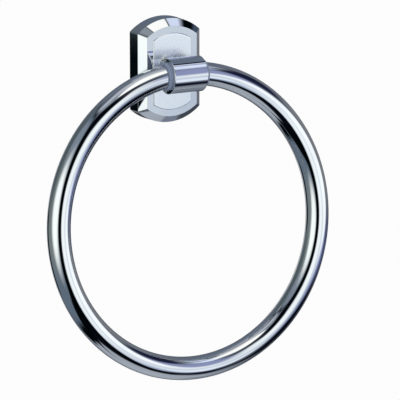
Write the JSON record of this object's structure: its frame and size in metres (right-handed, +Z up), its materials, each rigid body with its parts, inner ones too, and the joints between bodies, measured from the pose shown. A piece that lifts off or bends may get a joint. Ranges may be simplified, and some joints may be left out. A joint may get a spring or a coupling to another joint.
{
  "type": "towel ring",
  "caption": "Wall-mounted towel ring: arched plate with a bevelled face, a short post ending in a sleeve, and a round tube ring that swings in the sleeve to hang a towel.",
  "frame": {"origin": "on the wall, at the middle of the plate and midway between the two wall screw holes", "axes": "+Z up, +Y into the wall, -Y towards the room, +X along the sleeve"},
  "size_m": [0.162, 0.0447, 0.1816],
  "materials": {
    "plate_chrome": "bright chrome plating on a zinc casting, with a softer panel in the middle",
    "sleeve_chrome": "bright chrome plating on a zinc casting",
    "ring_chrome": "bright chrome plating on bent tube",
    "bush_nylon": "plain grey nylon, moulded",
    "plug_brass": "plain turned brass",
    "screw_steel": "zinc-plated steel",
    "bracket_zinc": "zinc-plated pressed steel sheet"
  },
  "bodies": {
    "mount": {"base_cover": "plate_chrome", "ring_holder": "sleeve_chrome", "ring_keeper_screw": "screw_steel", "holder_screw": "screw_steel", "holder_lock_washer": "screw_steel", "holder_washer": "screw_steel", "wall_bracket": "bracket_zinc", "cover_grub_screw": "screw_steel"},
    "ring": {"towel_ring": "ring_chrome", "ring_joining_plug": "plug_brass", "ring_bush_right": "bush_nylon", "ring_bush_left": "bush_nylon"}
  },
  "joints": [
    {"name": "ring_swing", "type": "hinge", "parent": "mount", "child": "ring", "pos_m": [0, -0.02309, 0], "axis": [-1, 0, 0], "range_deg": [-12, 167]}
  ]
}
